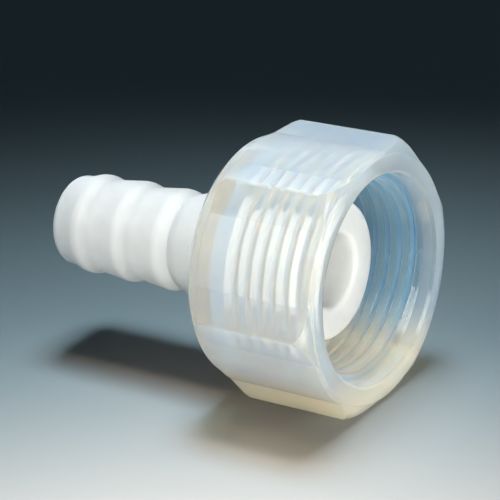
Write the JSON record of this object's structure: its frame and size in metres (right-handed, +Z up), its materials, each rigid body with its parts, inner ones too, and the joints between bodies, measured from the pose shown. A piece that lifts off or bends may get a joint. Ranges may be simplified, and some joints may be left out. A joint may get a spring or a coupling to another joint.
{
  "type": "hose adapter",
  "caption": "Straight barbed hose nozzle held in a loose union nut with an internal pipe thread, in fluoropolymer.",
  "frame": {"origin": "centre of the nozzle's flat sealing face, on the axis of the adapter", "axes": "+X along the axis, out of the nut's open threaded end; +Z up as the adapter lies on a table, resting on the nut"},
  "size_m": [0.0468, 0.0354, 0.0322],
  "materials": {
    "translucent_fluoropolymer": "milky, half clear, glossy",
    "white_fluoropolymer": "opaque, waxy satin"
  },
  "bodies": {
    "nozzle": {"hose_nozzle": "white_fluoropolymer"},
    "nut": {"union_nut": "translucent_fluoropolymer"}
  },
  "joints": [
    {"name": "nut_swivel", "type": "hinge", "parent": "nozzle", "child": "nut", "pos_m": [0, 0, 0], "axis": [1, 0, 0], "continuous": true}
  ]
}
